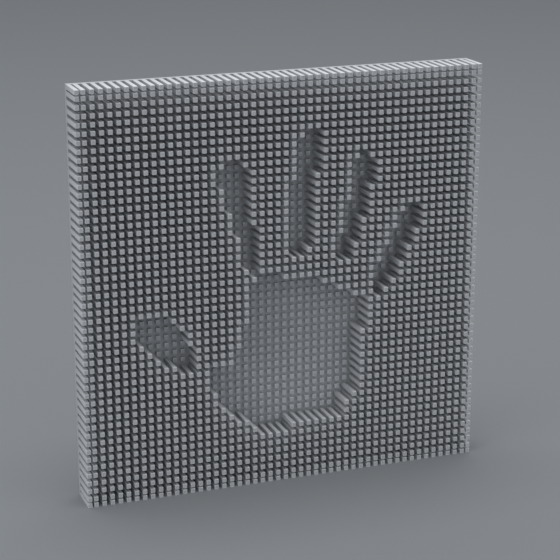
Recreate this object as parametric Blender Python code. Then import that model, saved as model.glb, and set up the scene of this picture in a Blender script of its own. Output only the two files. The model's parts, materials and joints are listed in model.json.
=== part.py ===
"""Pin impression toy: an upright block of straight pins that holds the print of a hand.

The block stands on its lower edge. A perforated plate at its back guides 49 x 49 sliding pins,
and a ring of fixed border pins around them carries the plate. Each sliding pin runs from flush
with the front of the block back to its shoulder on the plate, and a collar on its tail stops it
from leaving forwards. Neighbouring pins that lie at one depth are grouped in banks. A bank is
one solid with the stepped outline of its pins, and it slides as they do.

Units are metres. X runs to the right, Y from the front of the block to its back, Z up.
The origin is on the ground, at the middle of the toy's width and depth.
"""

import bmesh
import bpy

# Pins
PITCH = 0.005               # spacing of the sliding pins, across and up
FIELD_HALF = 24             # sliding pins on each side of the middle one
BORDER_OFFSET = 24.75       # border ring from the middle, in pitches
PIN_WIDTH = 0.0025          # across
PIN_HEIGHT = 0.0027         # up
HEAD_LENGTH = 0.00285       # from a pin's end to its shoulder
COLLAR_WIDTH = 0.0038       # side of the square collar on a pin's tail
COLLAR_THICKNESS = 0.0015

# Plate and block
BLOCK_DEPTH = 0.022         # from the front of the block to the back of the plate
PLATE_THICKNESS = 0.0025
GAP = 0.0003                # clearance between pieces that touch
FOOT_DEPTH = 0.0015         # foot that joins the border pins of one side

# Worked out from the above
PLATE_FRONT = BLOCK_DEPTH - PLATE_THICKNESS
PRESS_TRAVEL = PLATE_FRONT - HEAD_LENGTH
COLLAR_FRONT = BLOCK_DEPTH + GAP
COLLAR_BACK = COLLAR_FRONT + COLLAR_THICKNESS
TOY_DEPTH = PRESS_TRAVEL + COLLAR_BACK
HALF_WIDTH = BORDER_OFFSET * PITCH + PIN_WIDTH / 2
HALF_HEIGHT = BORDER_OFFSET * PITCH + PIN_HEIGHT / 2
FRONT_Y = -TOY_DEPTH / 2

# Half sizes of a pin, a collar and a pin's window in the plate, across and up
PIN_HALF = (PIN_WIDTH / 2, PIN_HEIGHT / 2)
COLLAR_HALF = (COLLAR_WIDTH / 2, COLLAR_WIDTH / 2)
WINDOW_HALF = (PIN_WIDTH / 2 + GAP, PIN_HEIGHT / 2 + GAP)

# The pressed hand, in pitches from the middle of the field, across and up.
# A digit is a tapered capsule: tip centre, tip radius, root centre, root radius.
DIGITS = {
    "thumb": ((-16.1, -4.4), 2.4, (-12.8, -8.0), 1.4),
    "index": ((-6.4, 13.5), 1.7, (-4.2, 2.7), 0.8),
    "middle": ((3.1, 17.1), 1.3, (1.6, 5.4), 1.6),
    "ring": ((10.2, 13.8), 1.3, (7.7, 3.4), 1.1),
    "little": ((16.4, 7.1), 1.5, (12.0, -1.5), 1.1),
}
PALM_OUTLINE = (
    (-4.4, 0.5), (-3.4, 1.4), (-0.6, 1.4), (0.4, 0.6), (4.5, 0.2), (8.3, -1.7),
    (10.4, -2.8), (10.4, -6.5), (9.4, -7.0), (9.4, -14.4), (8.4, -15.3), (7.3, -17.2),
    (2.0, -17.4), (0.3, -18.3), (-3.4, -18.3), (-4.5, -17.0), (-8.3, -14.5), (-9.3, -12.2),
    (-9.4, -9.6), (-6.4, -9.2), (-6.2, -7.9), (-5.3, -4.7), (-4.5, -3.0),
)

HAND_BANKS = (*DIGITS, "palm")

# Limits of the level banks around the hand, in pitches
HAND_TOP = 18               # last row of the hand
HAND_BOTTOM = -18
HAND_LEFT = -18             # first column of the hand
HAND_RIGHT = 17
SIDE_SPLIT_ROW = 0          # the side banks part above this row
PALM_MIDDLE = -8            # below this row one bank lies right of the palm
THUMB_WEB_TOP = 1           # the bank above the thumb ends with this row
CORNER_SPAN = 8             # columns from the middle to where the top and bottom banks part

# Finishes: colour, roughness, metallic
PIN_GREY = ((0.300, 0.305, 0.315, 1.0), 0.45, 0.0)
BORDER_GREY = ((0.310, 0.315, 0.325, 1.0), 0.45, 0.0)
COLLAR_GREY = ((0.200, 0.205, 0.215, 1.0), 0.55, 0.0)
PLATE_GREY = ((0.270, 0.275, 0.285, 1.0), 0.50, 0.0)


def clear_scene():
    """Remove whatever the scene holds."""
    for item in list(bpy.data.objects):
        bpy.data.objects.remove(item, do_unlink=True)


def finish(name, values):
    """Principled material with one colour, roughness and metallic value."""
    colour, roughness, metallic = values
    material = bpy.data.materials.new(name)
    material.use_nodes = True
    shader = material.node_tree.nodes["Principled BSDF"]
    shader.inputs["Base Color"].default_value = colour
    shader.inputs["Roughness"].default_value = roughness
    shader.inputs["Metallic"].default_value = metallic
    return material


def add_object(name, bm, values, parent=None, location=(0.0, 0.0, 0.0)):
    """Turn a bmesh into a named object with its own material."""
    bmesh.ops.recalc_face_normals(bm, faces=bm.faces)
    mesh = bpy.data.meshes.new(name)
    bm.to_mesh(mesh)
    bm.free()
    mesh.materials.append(finish(name + "_finish", values))
    item = bpy.data.objects.new(name, mesh)
    item.location = location
    item.parent = parent
    bpy.context.scene.collection.objects.link(item)
    return item


def in_digit(i, k, digit):
    """True where a pin lies inside a digit's tapered capsule."""
    (tip_x, tip_z), tip_radius, (root_x, root_z), root_radius = digit
    run_x = root_x - tip_x
    run_z = root_z - tip_z
    along = ((i - tip_x) * run_x + (k - tip_z) * run_z) / (run_x ** 2 + run_z ** 2)
    along = min(1.0, max(0.0, along))
    away_x = i - tip_x - along * run_x
    away_z = k - tip_z - along * run_z
    radius = tip_radius + along * (root_radius - tip_radius)
    return away_x ** 2 + away_z ** 2 <= radius ** 2


def in_palm(i, k):
    """True where a pin lies inside the palm's outline, by the even-odd rule."""
    inside = False
    following = PALM_OUTLINE[1:] + PALM_OUTLINE[:1]
    for (x0, z0), (x1, z1) in zip(PALM_OUTLINE, following):
        if (z0 > k) != (z1 > k) and i < x0 + (k - z0) * (x1 - x0) / (z1 - z0):
            inside = not inside
    return inside


def digit_axis(name, k):
    """Where a digit's middle line, drawn on both ways, crosses row k."""
    (tip_x, tip_z), _, (root_x, root_z), _ = DIGITS[name]
    return tip_x + (k - tip_z) * (root_x - tip_x) / (root_z - tip_z)


def above_thumb(i, k):
    """True above the thumb's middle line, drawn on both ways."""
    (tip_x, tip_z), _, (root_x, root_z), _ = DIGITS["thumb"]
    return k > tip_z + (i - tip_x) * (root_z - tip_z) / (root_x - tip_x)


def column_third(i):
    """Left, centre or right third of the top and bottom banks."""
    if i < -CORNER_SPAN:
        return "left"
    if i > CORNER_SPAN:
        return "right"
    return "centre"


def bank_beside_hand(i, k):
    """Level bank between and around the fingers, thumb and palm."""
    if i < digit_axis("index", k):
        if k > THUMB_WEB_TOP:
            return "index_outer"
        return "thumb_web" if above_thumb(i, k) else "thumb_outer"
    if k < PALM_MIDDLE:
        return "little_outer"
    if i < digit_axis("middle", k):
        return "index_middle"
    if i < digit_axis("ring", k):
        return "middle_ring"
    if i < digit_axis("little", k):
        return "ring_little"
    return "little_outer"


def bank_of(i, k):
    """Name of the bank that the pin in column i and row k belongs to."""
    for name, digit in DIGITS.items():
        if in_digit(i, k, digit):
            return name
    if in_palm(i, k):
        return "palm"
    if k > HAND_TOP:
        return "top_" + column_third(i)
    if k < HAND_BOTTOM:
        return "bottom_" + column_third(i)
    if i < HAND_LEFT:
        return "left_upper" if k > SIDE_SPLIT_ROW else "left_lower"
    if i > HAND_RIGHT:
        return "right_upper" if k > SIDE_SPLIT_ROW else "right_lower"
    return bank_beside_hand(i, k)


def sort_pins():
    """Map from each bank's name to the set of its pins."""
    banks = {}
    for k in range(FIELD_HALF, -FIELD_HALF - 1, -1):
        for i in range(-FIELD_HALF, FIELD_HALF + 1):
            banks.setdefault(bank_of(i, k), set()).add((i, k))
    return banks


def bank_tiles(pins):
    """Tiles that a bank covers: its pins, and the strips and crossings between them.

    Even tile numbers are pins, odd ones the space up to the next pin.
    """
    tiles = set()
    for i, k in pins:
        right = (i + 1, k) in pins
        upper = (i, k + 1) in pins
        tiles.add((2 * i, 2 * k))
        if right:
            tiles.add((2 * i + 1, 2 * k))
        if upper:
            tiles.add((2 * i, 2 * k + 1))
        if right and upper and (i + 1, k + 1) in pins:
            tiles.add((2 * i + 1, 2 * k + 1))
    return tiles


def tile_edge(number, half, rim):
    """Lower edge of a tile on one axis, for pins or windows 2 * half wide.

    The plate's first and last tiles, which lie around the field, reach its rim.
    """
    if number < -2 * FIELD_HALF:
        return -rim
    if number > 2 * FIELD_HALF + 1:
        return rim
    if number % 2 == 0:
        return number // 2 * PITCH - half
    return number // 2 * PITCH + half


def thicken(bm, faces, shift):
    """Extrude flat faces by a shift, which closes them into a solid."""
    grown = bmesh.ops.extrude_face_region(bm, geom=faces, use_keep_orig=True)
    moved = [part for part in grown["geom"] if isinstance(part, bmesh.types.BMVert)]
    bmesh.ops.translate(bm, verts=moved, vec=shift)


def tiled_solid(tiles, half, front, back):
    """Solid from y = front to y = back over a set of tiles, with half sizes across and up."""
    bm = bmesh.new()
    corners = {}

    def corner(column, row):
        if (column, row) not in corners:
            across = tile_edge(column, half[0], HALF_WIDTH)
            up = tile_edge(row, half[1], HALF_HEIGHT)
            corners[column, row] = bm.verts.new((across, front, HALF_HEIGHT + up))
        return corners[column, row]

    for column, row in sorted(tiles):
        bm.faces.new((
            corner(column, row),
            corner(column + 1, row),
            corner(column + 1, row + 1),
            corner(column, row + 1),
        ))
    bmesh.ops.dissolve_limit(
        bm,
        angle_limit=0.01,
        use_dissolve_boundaries=False,
        verts=bm.verts,
        edges=bm.edges,
    )
    thicken(bm, list(bm.faces), (0.0, back - front, 0.0))
    return bm


def build_bank(name, pins, pressed):
    """Pin bank and its collars, on an empty that slides along Y."""
    depth = PRESS_TRAVEL if pressed else 0.0
    slide = bpy.data.objects.new(name + "_slide", None)
    slide.location = (0.0, FRONT_Y + depth, 0.0)
    bpy.context.scene.collection.objects.link(slide)
    tiles = bank_tiles(pins)
    body = tiled_solid(tiles, PIN_HALF, 0.0, BLOCK_DEPTH)
    add_object("pins_" + name, body, PIN_GREY, slide)
    collars = tiled_solid(tiles, COLLAR_HALF, COLLAR_FRONT, COLLAR_BACK)
    add_object("collars_" + name, collars, COLLAR_GREY, slide)


def build_plate(banks):
    """Perforated guide plate, with one window for each bank."""
    reach = range(-2 * FIELD_HALF - 1, 2 * FIELD_HALF + 2)
    tiles = {(column, row) for column in reach for row in reach}
    for pins in banks.values():
        tiles -= bank_tiles(pins)
    plate = tiled_solid(tiles, WINDOW_HALF, PLATE_FRONT, BLOCK_DEPTH)
    add_object("guide_plate", plate, PLATE_GREY, location=(0.0, FRONT_Y, 0.0))


def border_outline(centres, half):
    """Comb outline of one side's border pins, as (along, back) points.

    The pins reach half to either side of their centres, and are joined at their feet, which
    stand clear of the plate.
    """
    foot_back = PLATE_FRONT - GAP
    foot_front = foot_back - FOOT_DEPTH
    outline = [(centres[0] - half, foot_back)]
    for place, following in zip(centres, centres[1:]):
        outline.append((place - half, 0.0))
        outline.append((place + half, 0.0))
        outline.append((place + half, foot_front))
        outline.append((following - half, foot_front))
    outline.append((centres[-1] - half, 0.0))
    outline.append((centres[-1] + half, 0.0))
    outline.append((centres[-1] + half, foot_back))
    return outline


def build_border_row(name, centres, upright, offset):
    """Fixed border pins along one side of the block.

    centres are the pins' places along the side, and offset is the side's place across it.
    An upright side runs along Z, and the others along X.
    """
    bm = bmesh.new()
    half_across, half_up = PIN_HALF
    verts = []
    if upright:
        for along, back in border_outline(centres, half_up):
            verts.append(bm.verts.new((offset - half_across, back, HALF_HEIGHT + along)))
        shift = (PIN_WIDTH, 0.0, 0.0)
    else:
        for along, back in border_outline(centres, half_across):
            verts.append(bm.verts.new((along, back, HALF_HEIGHT + offset - half_up)))
        shift = (0.0, 0.0, PIN_HEIGHT)
    face = bm.faces.new(verts)
    thicken(bm, [face], shift)
    add_object("border_pins_" + name, bm, BORDER_GREY, location=(0.0, FRONT_Y, 0.0))


def build_border():
    """The four rows of border pins. The top and bottom rows hold the corner pins."""
    inner = [i * PITCH for i in range(-FIELD_HALF, FIELD_HALF + 1)]
    ring = BORDER_OFFSET * PITCH
    whole = [-ring] + inner + [ring]
    build_border_row("top", whole, False, ring)
    build_border_row("bottom", whole, False, -ring)
    build_border_row("left", inner, True, -ring)
    build_border_row("right", inner, True, ring)


def main():
    """Build the whole toy."""
    clear_scene()
    banks = sort_pins()
    for name, pins in banks.items():
        build_bank(name, pins, pressed=name in HAND_BANKS)
    build_plate(banks)
    build_border()


main()
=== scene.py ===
"""Looks of the pin impression toy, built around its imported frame.

Every pin, collar and hole of the toy is modelled here. The banks of pins in the frame are plain
envelopes, and each is replaced by its own pins, which ride on the same sliding body.
All lengths are in metres.
"""

from __future__ import annotations

import json
import logging
import math
from dataclasses import dataclass, field
from enum import Enum

import bmesh
import bpy
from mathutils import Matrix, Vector


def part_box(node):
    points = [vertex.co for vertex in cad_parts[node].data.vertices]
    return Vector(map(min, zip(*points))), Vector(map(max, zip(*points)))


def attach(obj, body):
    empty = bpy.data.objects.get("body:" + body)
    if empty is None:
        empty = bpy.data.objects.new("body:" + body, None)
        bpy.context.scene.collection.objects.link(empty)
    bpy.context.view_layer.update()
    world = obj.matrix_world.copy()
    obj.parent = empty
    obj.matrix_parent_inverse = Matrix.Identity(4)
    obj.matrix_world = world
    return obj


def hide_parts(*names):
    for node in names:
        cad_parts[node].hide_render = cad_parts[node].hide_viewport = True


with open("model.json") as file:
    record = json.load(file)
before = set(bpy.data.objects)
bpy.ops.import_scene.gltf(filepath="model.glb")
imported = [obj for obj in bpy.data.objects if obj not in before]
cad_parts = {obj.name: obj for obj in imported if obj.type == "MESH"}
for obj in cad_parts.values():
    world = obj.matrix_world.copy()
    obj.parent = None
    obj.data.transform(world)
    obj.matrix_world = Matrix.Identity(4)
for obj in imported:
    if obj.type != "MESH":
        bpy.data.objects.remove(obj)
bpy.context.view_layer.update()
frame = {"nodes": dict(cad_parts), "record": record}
LOG = logging.getLogger("pin_toy")
MM = 0.001


class Along(Enum):
    """The world axis that a row of copies runs along."""

    X = (1.0, 0.0, 0.0)
    Z = (0.0, 0.0, 1.0)


# ---------------------------------------------------------------------------
# Finishes
# ---------------------------------------------------------------------------


def linear(hex_colour: str) -> tuple[float, float, float, float]:
    """Turn an sRGB hex colour into linear RGBA.

    Args:
        hex_colour: Six hex digits, such as "8a8c90".

    Returns:
        The linear colour with alpha 1.
    """
    channels = []
    for start in (0, 2, 4):
        value = int(hex_colour[start:start + 2], 16) / 255
        channels.append(value / 12.92 if value <= 0.04045 else ((value + 0.055) / 1.055) ** 2.4)
    return (*channels, 1.0)


def add_node(
    tree: bpy.types.NodeTree,
    kind: str,
    settings: dict | None = None,
    inputs: dict | None = None,
) -> bpy.types.Node:
    """Add a shader node with its settings, values and links.

    Args:
        tree: The node tree to add to.
        kind: The node's type, such as "ShaderNodeMix".
        settings: Attributes to set on the node.
        inputs: Socket values by name or number; an output socket there is linked.

    Returns:
        The new node.
    """
    node = tree.nodes.new(kind)
    for name, value in (settings or {}).items():
        setattr(node, name, value)
    for key, value in (inputs or {}).items():
        socket = node.inputs[key]
        if isinstance(value, bpy.types.NodeSocket):
            tree.links.new(value, socket)
        else:
            socket.default_value = value
    return node


@dataclass(frozen=True)
class MouldedPlastic:
    """Injection-moulded ABS with a fine spark-eroded grain: a soft satin sheen, no gloss."""

    name: str
    colour: str
    painted_highlight_colour: str
    roughness: float = 0.42
    specular: float = 0.5
    grain_mm: float = 0.35
    grain_depth_mm: float = 0.012
    cell_mm: float = 5.0
    cell_shift_mm: tuple[float, float, float] = (2.5, 0.0, 2.5)
    tone_spread: float = 0.06

    def build(self) -> bpy.types.Material:
        """Make the material.

        Each moulding differs a little in tone, the rims are painted paler as a highlight, and a slow
        mottle and the grain break up the surface.

        Returns:
            The new material.
        """
        material = bpy.data.materials.new(self.name)
        material.use_nodes = True
        tree = material.node_tree
        shader = tree.nodes["Principled BSDF"]
        place = add_node(tree, "ShaderNodeTexCoord").outputs["Object"]
        cell_size = self.cell_mm * MM
        shifted = add_node(
            tree,
            "ShaderNodeVectorMath",
            {"operation": "ADD"},
            {0: place, 1: tuple(value * MM for value in self.cell_shift_mm)},
        )
        cell = add_node(
            tree,
            "ShaderNodeVectorMath",
            {"operation": "SNAP"},
            {0: shifted.outputs[0], 1: (cell_size, 1.0, cell_size)},
        )
        chance = add_node(
            tree, "ShaderNodeTexWhiteNoise", {"noise_dimensions": "3D"}, {0: cell.outputs[0]}
        )
        mottle = add_node(
            tree,
            "ShaderNodeTexNoise",
            inputs={"Vector": place, "Scale": 1 / (6 * MM), "Detail": 3.0, "Roughness": 0.6},
        )
        mottle_part = add_node(
            tree,
            "ShaderNodeMath",
            {"operation": "MULTIPLY"},
            {0: mottle.outputs["Fac"], 1: 0.5},
        )
        blend = add_node(
            tree,
            "ShaderNodeMath",
            {"operation": "MULTIPLY_ADD"},
            {0: chance.outputs["Value"], 1: 0.5, 2: mottle_part.outputs[0]},
        )
        tone = add_node(
            tree,
            "ShaderNodeMapRange",
            inputs={
                "Value": blend.outputs[0],
                "To Min": 1.0 - self.tone_spread,
                "To Max": 1.0 + self.tone_spread,
            },
        )
        # The rim attribute blends in a lighter colour: a painted highlight on the chamfered edges.
        rim = add_node(tree, "ShaderNodeAttribute", {"attribute_name": "rim"})
        base = add_node(
            tree,
            "ShaderNodeMix",
            {"data_type": "RGBA"},
            {"Factor": rim.outputs["Fac"], "A": linear(self.colour), "B": linear(self.painted_highlight_colour)},
        )
        toned = add_node(
            tree,
            "ShaderNodeVectorMath",
            {"operation": "SCALE"},
            {0: base.outputs["Result"], "Scale": tone.outputs["Result"]},
        )
        tree.links.new(toned.outputs[0], shader.inputs["Base Color"])
        shine = add_node(
            tree,
            "ShaderNodeMapRange",
            inputs={
                "Value": mottle.outputs["Fac"],
                "To Min": self.roughness - 0.05,
                "To Max": self.roughness + 0.05,
            },
        )
        tree.links.new(shine.outputs["Result"], shader.inputs["Roughness"])
        grain = add_node(
            tree,
            "ShaderNodeTexNoise",
            inputs={"Vector": place, "Scale": 1 / (self.grain_mm * MM), "Detail": 2.0},
        )
        bump = add_node(
            tree,
            "ShaderNodeBump",
            inputs={
                "Strength": 0.5,
                "Distance": self.grain_depth_mm * MM,
                "Height": grain.outputs["Fac"],
            },
        )
        tree.links.new(bump.outputs["Normal"], shader.inputs["Normal"])
        shader.inputs["Specular IOR Level"].default_value = self.specular
        return material


@dataclass(frozen=True)
class PaintedFloor:
    """Seamless studio floor in matt emulsion: an even pale grey with no sheen."""

    name: str = "matt_emulsion_floor"
    colour: str = "7c7f82"

    def build(self) -> bpy.types.Material:
        """Make the floor's material."""
        material = bpy.data.materials.new(self.name)
        material.use_nodes = True
        shader = material.node_tree.nodes["Principled BSDF"]
        shader.inputs["Base Color"].default_value = linear(self.colour)
        shader.inputs["Roughness"].default_value = 0.85
        shader.inputs["Specular IOR Level"].default_value = 0.25
        return material


# Satin moulded ABS: a soft pale front with no sharp glint; its lighter edge colour is a painted
# highlight.
PIN_PLASTIC = MouldedPlastic("satin_abs_pins", "bcbec1", "d0d2d5")
# The same ABS, so that the border reads as one set with the sliding pins; the same painted highlight
# on the edges.
BORDER_PLASTIC = MouldedPlastic("satin_abs_border_pins", "bcbec1", "d0d2d5")
# Satin moulded ABS: an even, slightly darker ground that shows between the pins.
PLATE_PLASTIC = MouldedPlastic("satin_abs_plate", "b4b6b9", "c0c2c5", tone_spread=0.02)
# Matt moulded nylon: a dark grey with almost no highlight, seen from behind only; its back rim is
# painted lighter as a highlight.
COLLAR_PLASTIC = MouldedPlastic("matt_nylon_collars", "5c5e62", "707276", roughness=0.55)


# ---------------------------------------------------------------------------
# Modelling helpers
# ---------------------------------------------------------------------------


def deselect_all() -> None:
    """Leave edit mode and clear the selection."""
    if bpy.context.mode != "OBJECT":
        bpy.ops.object.mode_set(mode="OBJECT")
    bpy.ops.object.select_all(action="DESELECT")


def activate(item: bpy.types.Object) -> None:
    """Select one object alone and make it active."""
    deselect_all()
    item.select_set(True)
    bpy.context.view_layer.objects.active = item


def add_cuboid(name: str, low: Vector, high: Vector) -> bpy.types.Object:
    """Add a cube primitive stretched to a box, with its place in its mesh.

    Args:
        name: The object's name.
        low: The box's lowest corner.
        high: The box's highest corner.

    Returns:
        The new object, active and selected.
    """
    deselect_all()
    bpy.ops.mesh.primitive_cube_add(size=1.0, location=(low + high) / 2)
    item = bpy.context.active_object
    item.name = name
    item.scale = high - low
    bpy.ops.object.transform_apply(location=True, rotation=True, scale=True)
    return item


def select_faces(item: bpy.types.Object, wanted) -> int:
    """In edit mode, select the faces that a test accepts, and nothing else.

    Args:
        item: The object in edit mode.
        wanted: Called with each face, and true for those to select.

    Returns:
        How many faces are selected.
    """
    bpy.ops.mesh.select_mode(type="FACE")
    mesh = bmesh.from_edit_mesh(item.data)
    count = 0
    for face in mesh.faces:
        chosen = bool(wanted(face))
        face.select_set(False)
        count += chosen
    for face in mesh.faces:
        if wanted(face):
            face.select_set(True)
    bmesh.update_edit_mesh(item.data)
    return count


def mark_painted_highlight(item: bpy.types.Object, painted_highlight_share) -> None:
    """Store on each vertex how far it takes the painted highlight of a rim.

    Args:
        item: The object, in object mode.
        painted_highlight_share: Called with a vertex's place, and gives 0 to 1.
    """
    layer = item.data.attributes.new("rim", "FLOAT", "POINT")
    layer.data.foreach_set("value", [painted_highlight_share(vertex.co) for vertex in item.data.vertices])


def place_copy(
    master: bpy.types.Object, shift: Vector, count: int, along: Along, pitch: float
) -> bpy.types.Object:
    """Copy a master piece into a row of equal pieces.

    Args:
        master: The piece to copy.
        shift: Where the row's first piece goes.
        count: How many pieces the row has.
        along: The axis that the row runs along.
        pitch: The spacing of the row.

    Returns:
        One object that holds the row, with its place in its mesh.
    """
    activate(master)
    bpy.ops.object.duplicate()
    row = bpy.context.active_object
    row.location = shift
    bpy.ops.object.transform_apply(location=True, rotation=False, scale=False)
    if count > 1:
        array = row.modifiers.new("row", "ARRAY")
        array.count = count
        array.use_relative_offset = False
        array.use_constant_offset = True
        array.constant_offset_displace = Vector(along.value) * pitch
        bpy.ops.object.modifier_apply(modifier=array.name)
    return row


def join(rows: list[bpy.types.Object], name: str) -> bpy.types.Object:
    """Join rows into one piece.

    Args:
        rows: The objects to join.
        name: The piece's name.

    Returns:
        The joined object.
    """
    deselect_all()
    for row in rows:
        row.select_set(True)
    bpy.context.view_layer.objects.active = rows[0]
    if len(rows) > 1:
        bpy.ops.object.join()
    piece = bpy.context.active_object
    piece.name = name
    piece.data.name = name
    return piece


def dress(
    piece: bpy.types.Object, material: bpy.types.Material, body: str, node: str
) -> None:
    """Give a piece its finish, and let it stand for a node of the frame.

    Args:
        piece: The finished piece.
        material: Its material.
        body: The body that it rides on.
        node: The node that it replaces.
    """
    piece.data.materials.clear()
    piece.data.materials.append(material)
    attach(piece, body)
    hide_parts(node)


def runs_of(columns: list[int]) -> list[tuple[int, int]]:
    """Split sorted whole numbers into runs without gaps.

    Args:
        columns: The numbers, in rising order.

    Returns:
        Each run's first number and length.
    """
    runs: list[tuple[int, int]] = []
    for column in columns:
        if runs and column == runs[-1][0] + runs[-1][1]:
            runs[-1] = (runs[-1][0], runs[-1][1] + 1)
        else:
            runs.append((column, 1))
    return runs


# ---------------------------------------------------------------------------
# The toy
# ---------------------------------------------------------------------------


@dataclass
class Lattice:
    """The square lattice that the sliding pins stand on."""

    pitch: float = 5.0 * MM
    half_count: int = 24
    border_pitches: float = 24.75
    middle: Vector = field(init=False)
    front: float = field(init=False)
    plate_front: float = field(init=False)
    plate_back: float = field(init=False)

    def __post_init__(self) -> None:
        """Read the block's middle and its depths from the frame."""
        low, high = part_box("guide_plate")
        self.middle = Vector(((low[0] + high[0]) / 2, 0.0, (low[2] + high[2]) / 2))
        self.plate_front = low[1]
        self.plate_back = high[1]
        self.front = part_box("border_pins_top")[0][1]

    def place(self, column: float, row: float, depth: float) -> Vector:
        """World place of a lattice point, at a depth along Y."""
        x = self.middle.x + column * self.pitch
        z = self.middle.z + row * self.pitch
        return Vector((x, depth, z))

    def pins_in(self, node: str) -> dict[int, list[int]]:
        """Find which pins a bank of the frame stands for.

        Args:
            node: The bank's node.

        Returns:
            For each row number, the columns of its pins in rising order.
        """
        solid = frame["nodes"][node]
        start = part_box(node)[0][1] - self.pitch
        found: dict[int, list[int]] = {}
        numbers = range(-self.half_count, self.half_count + 1)
        for row in numbers:
            for column in numbers:
                hit, *_ = solid.ray_cast(self.place(column, row, start), (0.0, 1.0, 0.0))
                if hit:
                    found.setdefault(row, []).append(column)
        return found


@dataclass(frozen=True)
class PinFront:
    """Front end of a pin: a chamfered oblong with a slightly sunken middle."""

    width: float = 2.5 * MM
    height: float = 2.7 * MM
    edge: float = 0.12 * MM
    land: float = 0.4 * MM
    dish: float = 0.04 * MM

    def model_bar(self, name: str, length: float) -> bpy.types.Object:
        """Model a straight bar with this front end at the origin, running along +Y.

        Args:
            name: The bar's name.
            length: The bar's length.

        Returns:
            The bar, in object mode.
        """
        across = self.width / 2
        up = self.height / 2
        bar = add_cuboid(name, Vector((-across, 0.0, -up)), Vector((across, length, up)))
        bpy.ops.object.mode_set(mode="EDIT")
        select_faces(bar, lambda face: face.normal.y < -0.9)
        bpy.ops.mesh.bevel(offset=self.edge, segments=1, affect="EDGES")
        select_faces(bar, lambda face: face.normal.y < -0.99)
        bpy.ops.mesh.inset(thickness=self.land)
        bpy.ops.transform.translate(value=(0.0, self.dish, 0.0))
        bpy.ops.object.mode_set(mode="OBJECT")
        return bar

    def mark(self, bar: bpy.types.Object) -> None:
        """Mark the chamfer and the outer edge of its land for the painted highlight."""
        inset = self.edge + self.land - 0.01 * MM
        across = self.width / 2 - inset
        up = self.height / 2 - inset
        mark_painted_highlight(
            bar,
            lambda co: float(co.y < self.edge * 1.01 and (abs(co.x) > across or abs(co.z) > up)),
        )


@dataclass
class PinBank:
    """Sliding pins: a head, a slightly slimmer shank behind its shoulder, and a collar."""

    lattice: Lattice
    front: PinFront = field(default_factory=PinFront)
    head_length: float = 2.85 * MM
    shoulder: float = 0.1 * MM
    tail_recess: float = 0.2 * MM
    collar_width: float = 3.8 * MM
    collar_edge: float = 0.25 * MM
    collar_fit: float = 0.01 * MM

    def model_pin(self, length: float) -> bpy.types.Object:
        """Model one pin with its front end at the origin and its tail along +Y.

        Args:
            length: The pin's whole length.

        Returns:
            The pin's object.
        """
        pin = self.front.model_bar("pin_master", self.head_length)
        bpy.ops.object.mode_set(mode="EDIT")
        select_faces(pin, lambda face: face.normal.y > 0.9)
        bpy.ops.mesh.inset(thickness=self.shoulder)
        bpy.ops.mesh.extrude_region_move(
            TRANSFORM_OT_translate={"value": (0.0, length - self.head_length, 0.0)}
        )
        bpy.ops.object.mode_set(mode="OBJECT")
        self.front.mark(pin)
        return pin

    def model_collar(self, thickness: float) -> bpy.types.Object:
        """Model one retaining collar, its front face at the origin and pushed on along +Y.

        Args:
            thickness: The collar's thickness.

        Returns:
            The collar's object.
        """
        half = self.collar_width / 2
        hole_width = self.front.width - 2 * (self.shoulder - self.collar_fit)
        hole_height = self.front.height - 2 * (self.shoulder - self.collar_fit)
        collar = add_cuboid(
            "collar_master", Vector((-half, 0.0, -half)), Vector((half, thickness, half))
        )
        bpy.ops.object.mode_set(mode="EDIT")
        select_faces(collar, lambda face: face.normal.y > 0.9)
        bpy.ops.mesh.bevel(offset=self.collar_edge, segments=1, affect="EDGES")
        wall = (self.collar_width - hole_height) / 2
        for turned, rim in ((1.0, self.collar_edge), (-1.0, 0.0)):
            select_faces(collar, lambda face: face.normal.y * turned > 0.99)
            bpy.ops.mesh.inset(thickness=wall - rim)
            bpy.ops.transform.resize(value=(hole_width / hole_height, 1.0, 1.0))
        reach = hole_height / 2 + 0.01 * MM
        select_faces(
            collar,
            lambda face: abs(face.normal.y) > 0.99
            and all(max(abs(v.co.x), abs(v.co.z)) < reach for v in face.verts),
        )
        bpy.ops.mesh.bridge_edge_loops()
        bpy.ops.object.mode_set(mode="OBJECT")
        # The back chamfer takes a painted highlight, a lighter rim.
        mark_painted_highlight(collar, lambda co: float(co.y > thickness - 1.5 * self.collar_edge))
        return collar

    def build(self, body: str, finishes: dict[str, bpy.types.Material]) -> int:
        """Model a whole bank, pins and collars.

        Args:
            body: The sliding body that the bank rides on.
            finishes: The materials by slot.

        Returns:
            How many pins the bank has.
        """
        name = body.removeprefix("bank_")
        pins_node = "pins_" + name
        collars_node = "collars_" + name
        found = self.lattice.pins_in(pins_node)
        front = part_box(pins_node)[0][1]
        collar_low, collar_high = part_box(collars_node)
        pin = self.model_pin(collar_high[1] - front - self.tail_recess)
        collar = self.model_collar(collar_high[1] - collar_low[1])
        pin_rows = []
        collar_rows = []
        for row, columns in found.items():
            for first, count in runs_of(columns):
                at_front = self.lattice.place(first, row, front)
                at_tail = self.lattice.place(first, row, collar_low[1])
                pitch = self.lattice.pitch
                pin_rows.append(place_copy(pin, at_front, count, Along.X, pitch))
                collar_rows.append(place_copy(collar, at_tail, count, Along.X, pitch))
        for master in (pin, collar):
            bpy.data.objects.remove(master, do_unlink=True)
        pins = join(pin_rows, name + "_pins")
        collars = join(collar_rows, name + "_retaining_collars")
        dress(pins, finishes["sliding_pins"], body, pins_node)
        dress(collars, finishes["collars"], body, collars_node)
        return sum(len(columns) for columns in found.values())


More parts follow.
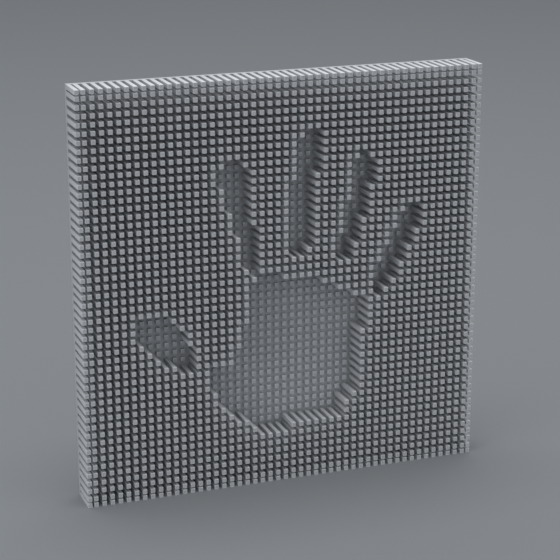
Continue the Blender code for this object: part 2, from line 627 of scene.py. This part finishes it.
@dataclass
class BorderRing:
    """Fixed pins around the block, pressed into the guide plate."""

    lattice: Lattice
    front: PinFront = field(default_factory=PinFront)
    rooted: float = 0.1 * MM

    def model_pin(self) -> bpy.types.Object:
        """Model one border pin with its front end at the origin."""
        length = self.lattice.plate_front - self.lattice.front + self.rooted
        pin = self.front.model_bar("border_master", length)
        self.front.mark(pin)
        return pin

    def build(self, finishes: dict[str, bpy.types.Material]) -> None:
        """Model the four rows of border pins; the top and bottom rows hold the corners."""
        pin = self.model_pin()
        ring = self.lattice.border_pitches
        edge = self.lattice.half_count
        whole = 2 * edge + 1
        front = self.lattice.front
        pitch = self.lattice.pitch
        for name, row in (("top", ring), ("bottom", -ring)):
            parts = [
                place_copy(pin, self.lattice.place(-edge, row, front), whole, Along.X, pitch),
                place_copy(pin, self.lattice.place(-ring, row, front), 1, Along.X, pitch),
                place_copy(pin, self.lattice.place(ring, row, front), 1, Along.X, pitch),
            ]
            self.finish_row(join(parts, name + "_border_pins"), name, finishes)
        for name, column in (("left", -ring), ("right", ring)):
            start = self.lattice.place(column, -edge, front)
            parts = [place_copy(pin, start, whole, Along.Z, pitch)]
            self.finish_row(join(parts, name + "_border_pins"), name, finishes)
        bpy.data.objects.remove(pin, do_unlink=True)

    def finish_row(
        self, piece: bpy.types.Object, name: str, finishes: dict[str, bpy.types.Material]
    ) -> None:
        """Dress one row of border pins."""
        dress(piece, finishes["border_pins"], "block", "border_pins_" + name)


@dataclass
class GuidePlate:
    """Perforated plate with one oblong hole for each sliding pin."""

    lattice: Lattice
    hole_width: float = 2.4 * MM
    hole_height: float = 2.6 * MM

    def build(self, finishes: dict[str, bpy.types.Material]) -> None:
        """Model the plate from a grid whose inner cells are opened."""
        low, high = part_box("guide_plate")
        pitch = self.lattice.pitch
        cells = 2 * self.lattice.half_count + 3
        thickness = high[1] - low[1]
        deselect_all()
        bpy.ops.mesh.primitive_grid_add(
            x_subdivisions=cells,
            y_subdivisions=cells,
            size=cells * pitch,
            location=(0.0, 0.0, 0.0),
            rotation=(math.radians(90), 0.0, 0.0),
        )
        plate = bpy.context.active_object
        plate.name = "perforated_guide_plate"
        plate.location = (self.lattice.middle.x, low[1], self.lattice.middle.z)
        bpy.ops.object.transform_apply(location=True, rotation=True, scale=True)
        self.trim_rim(plate, low, high)
        bpy.ops.object.mode_set(mode="EDIT")
        reach = (self.lattice.half_count + 0.1) * pitch
        middle = self.lattice.middle

        def in_field(face: bmesh.types.BMFace) -> bool:
            centre = face.calc_center_median() - middle
            return max(abs(centre.x), abs(centre.z)) < reach

        select_faces(plate, in_field)
        bpy.ops.mesh.inset(thickness=(pitch - self.hole_height) / 2, use_individual=True)
        bpy.ops.mesh.delete(type="FACE")
        bpy.ops.object.mode_set(mode="OBJECT")
        self.narrow_holes(plate)
        wall = plate.modifiers.new("wall", "SOLIDIFY")
        wall.thickness = thickness
        wall.offset = -1.0
        wall.use_even_offset = True
        bpy.ops.object.modifier_apply(modifier=wall.name)
        mark_painted_highlight(plate, lambda co: 0.0)
        dress(plate, finishes["guide_plate"], "block", "guide_plate")

    def narrow_holes(self, plate: bpy.types.Object) -> None:
        """Bring the sides of the square holes in to the holes' real width."""
        pitch = self.lattice.pitch
        middle = self.lattice.middle.x
        wide = self.hole_height / 2
        for vertex in plate.data.vertices:
            column = round((vertex.co.x - middle) / pitch)
            off = vertex.co.x - middle - column * pitch
            if abs(abs(off) - wide) < 0.01 * MM:
                side = math.copysign(self.hole_width / 2, off)
                vertex.co.x = middle + column * pitch + side

    def trim_rim(self, plate: bpy.types.Object, low: Vector, high: Vector) -> None:
        """Bring the grid's outermost edges in to the plate's real outline.

        Args:
            plate: The flat grid.
            low: The plate's lowest corner.
            high: The plate's highest corner.
        """
        for vertex in plate.data.vertices:
            vertex.co.x = min(max(vertex.co.x, low[0]), high[0])
            vertex.co.z = min(max(vertex.co.z, low[2]), high[2])


# ---------------------------------------------------------------------------
# Stage
# ---------------------------------------------------------------------------


@dataclass
class Studio:
    """Plain floor, soft light from above and a long-lens camera."""

    eye: Vector = field(default_factory=lambda: Vector((-0.3472, -0.945175, 0.42618)))
    turn_deg: float = 20.35
    tilt_deg: float = 16.79
    lens_mm: float = 111.54
    floor_size: float = 30.0

    def build(self) -> None:
        """Set the stage."""
        self.lay_floor()
        self.hang_light("overhead_softbox", (0.0, 0.0, 2.6), (0.0, 0.0, 0.1), 1.8, 44.0)
        self.hang_light("left_softbox", (-2.2, -0.7, 0.7), (0.0, 0.0, 0.12), 1.2, 10.0)
        self.light_world()
        self.place_camera()
        bpy.context.scene.view_settings.view_transform = "Standard"

    def lay_floor(self) -> None:
        """Lay a large plain floor at the toy's foot."""
        deselect_all()
        bpy.ops.mesh.primitive_plane_add(size=self.floor_size, location=(0.0, 0.0, 0.0))
        floor = bpy.context.active_object
        floor.name = "studio_floor"
        floor.data.materials.append(PaintedFloor().build())

    def hang_light(
        self,
        name: str,
        place: tuple[float, float, float],
        aim: tuple[float, float, float],
        size: float,
        power: float,
    ) -> None:
        """Hang one square softbox.

        Args:
            name: The light's name.
            place: Where it hangs.
            aim: The point that it faces.
            size: The side of its square, in metres.
            power: Its power in watts.
        """
        deselect_all()
        bpy.ops.object.light_add(type="AREA", location=place)
        lamp = bpy.context.active_object
        lamp.name = name
        lamp.data.shape = "SQUARE"
        lamp.data.size = size
        lamp.data.energy = power
        lamp.rotation_euler = (Vector(aim) - Vector(place)).to_track_quat("-Z", "Y").to_euler()

    def light_world(self) -> None:
        """Even grey light from all around."""
        world = bpy.data.worlds.new("studio_air")
        world.use_nodes = True
        background = world.node_tree.nodes["Background"]
        background.inputs["Color"].default_value = linear("c9cccf")
        background.inputs["Strength"].default_value = 0.9
        bpy.context.scene.world = world

    def place_camera(self) -> None:
        """Stand the camera to the left and above, with a long lens."""
        deselect_all()
        bpy.ops.object.camera_add(location=self.eye)
        camera = bpy.context.active_object
        camera.name = "studio_camera"
        camera.rotation_euler = (math.radians(90 - self.tilt_deg), 0.0, math.radians(-self.turn_deg))
        camera.data.lens = self.lens_mm
        camera.data.sensor_width = 36.0
        camera.data.clip_start = 0.01
        camera.data.clip_end = 100.0
        bpy.context.scene.camera = camera


def main() -> None:
    """Build every piece in order, then the stage."""
    logging.basicConfig(level=logging.INFO, format="%(message)s")
    finishes = {
        "sliding_pins": PIN_PLASTIC.build(),
        "border_pins": BORDER_PLASTIC.build(),
        "guide_plate": PLATE_PLASTIC.build(),
        "collars": COLLAR_PLASTIC.build(),
    }
    lattice = Lattice()
    bank = PinBank(lattice)
    total = 0
    for body in frame["record"]["behaviour"]["bodies"]:
        if body.startswith("bank_"):
            count = bank.build(body, finishes)
            total += count
            LOG.info("%s: %d pins", body, count)
    LOG.info("%d sliding pins in all", total)
    BorderRing(lattice).build(finishes)
    LOG.info("border ring built")
    GuidePlate(lattice).build(finishes)
    LOG.info("guide plate built")
    Studio().build()


if __name__ == "__main__":
    main()
